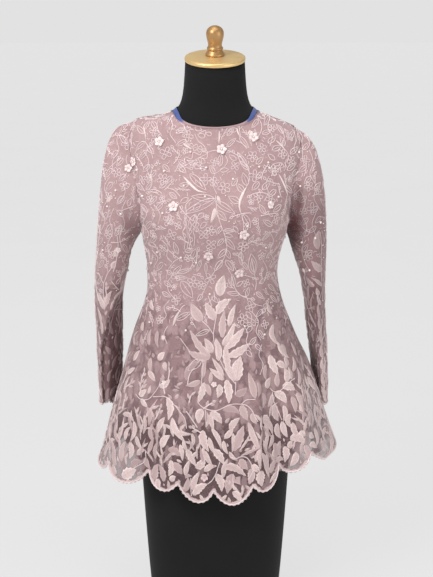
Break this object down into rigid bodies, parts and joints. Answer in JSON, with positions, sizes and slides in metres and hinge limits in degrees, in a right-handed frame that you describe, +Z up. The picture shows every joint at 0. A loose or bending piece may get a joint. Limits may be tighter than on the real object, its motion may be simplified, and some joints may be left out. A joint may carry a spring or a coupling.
{
  "type": "kebaya blouse on dress form",
  "caption": "Long-sleeved kebaya blouse of embroidered net with a flared, scalloped peplum, worn by a limbless dress form with a capped neck.",
  "frame": {"origin": "centre of the dress form's flat base, on the surface it stands on", "axes": "+Z up the form; -Y the blouse's front; +X the wearer's left"},
  "size_m": [0.4781, 0.3433, 1.1462],
  "materials": {
    "embroidered_net": "fine net with pale satin embroidery, over a matt lining",
    "lining": "plain matt weave",
    "binding": "blue bias strip with a slight sheen",
    "zip": "dyed to the cloth",
    "jersey": "black stretch jersey over a hard shell",
    "gilt": "satin gold"
  },
  "bodies": {
    "dressed_form": {"front": "embroidered_net", "back_left": "embroidered_net", "back_right": "embroidered_net", "sleeve_left": "embroidered_net", "sleeve_right": "embroidered_net", "lining_skirt": "lining", "neck_binding": "binding", "zip_chain": "zip", "zip_slider": "zip", "form_torso": "jersey", "neck_cap": "gilt", "cap_finial": "gilt"},
    "pull_tab": {"zip_pull": "zip"}
  },
  "joints": [
    {"name": "pull_tab_swing", "type": "hinge", "parent": "dressed_form", "child": "pull_tab", "pos_m": [0, 0.07032, 0.97863], "axis": [1, 0, 0], "range_deg": [0, 150]}
  ]
}
